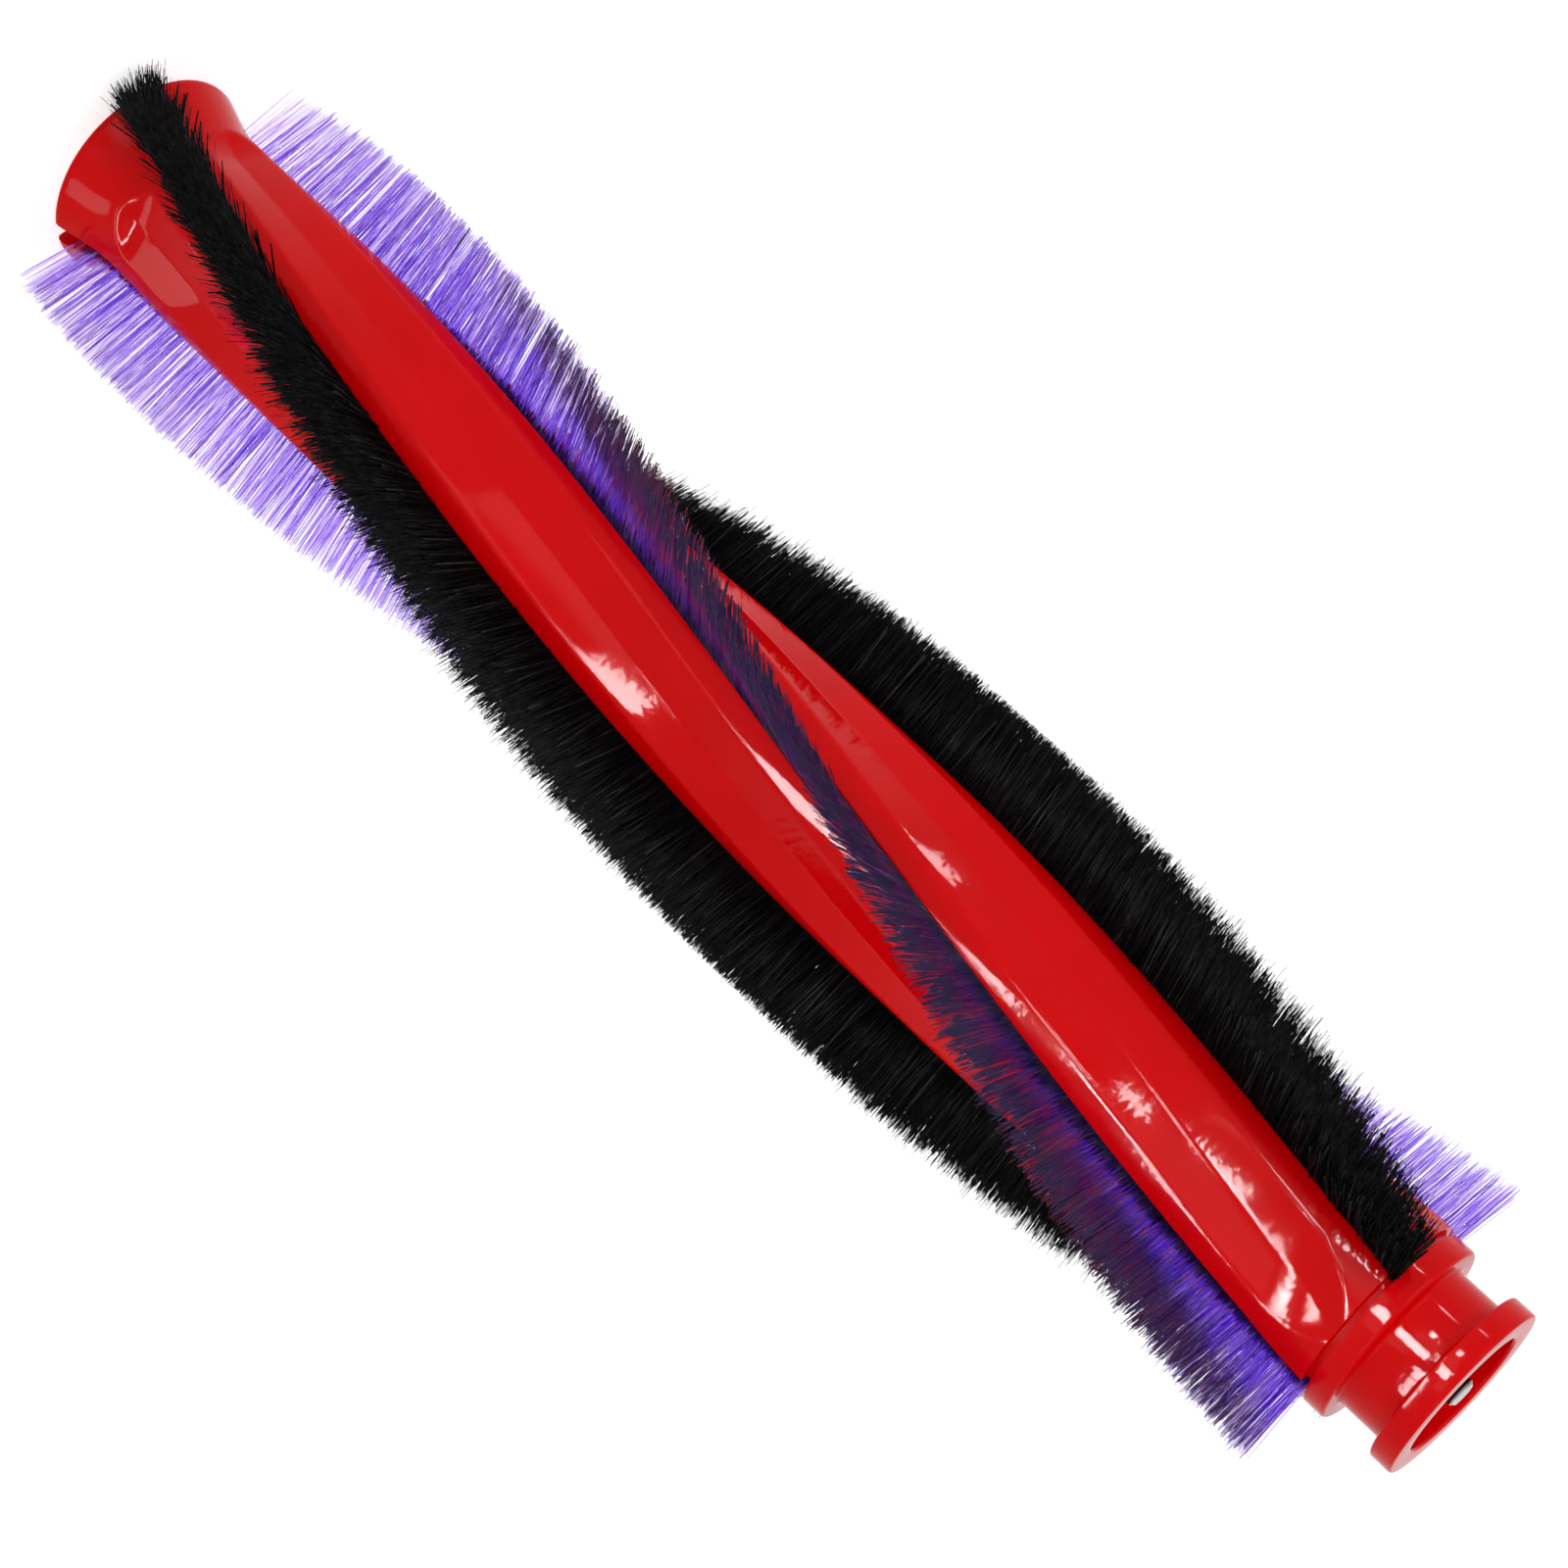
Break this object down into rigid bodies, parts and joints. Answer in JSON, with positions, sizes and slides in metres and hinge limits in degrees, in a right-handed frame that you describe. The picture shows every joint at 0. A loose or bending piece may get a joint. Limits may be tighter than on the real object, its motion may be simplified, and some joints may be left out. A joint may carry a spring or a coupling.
{
  "type": "vacuum roller brush",
  "caption": "Cylindrical vacuum cleaner roller brush: red moulded bar with helical violet nylon and black carbon-fibre bristle strips, a flared collar and a spool end with an axle pin.",
  "frame": {"origin": "centre of the collar's rim plane, on the roller's axis", "axes": "+Z along the roller's axis, from the collar at the driven end to the spool at the axle end"},
  "size_m": [0.0456, 0.0456, 0.225],
  "materials": {
    "red_moulding": "glossy injection moulding",
    "pin_steel": "ground",
    "strip_backing": "matt extrusion",
    "violet_nylon": "translucent nylon filament",
    "black_fibre": "matt carbon-fibre filament"
  },
  "bodies": {
    "root": {"brush_bar": "red_moulding", "axle_pin": "pin_steel", "nylon_backing_1": "strip_backing", "nylon_bristles_1": "violet_nylon", "nylon_backing_2": "strip_backing", "nylon_bristles_2": "violet_nylon", "carbon_backing_1": "strip_backing", "carbon_bristles_1": "black_fibre", "carbon_backing_2": "strip_backing", "carbon_bristles_2": "black_fibre"}
  },
  "joints": []
}
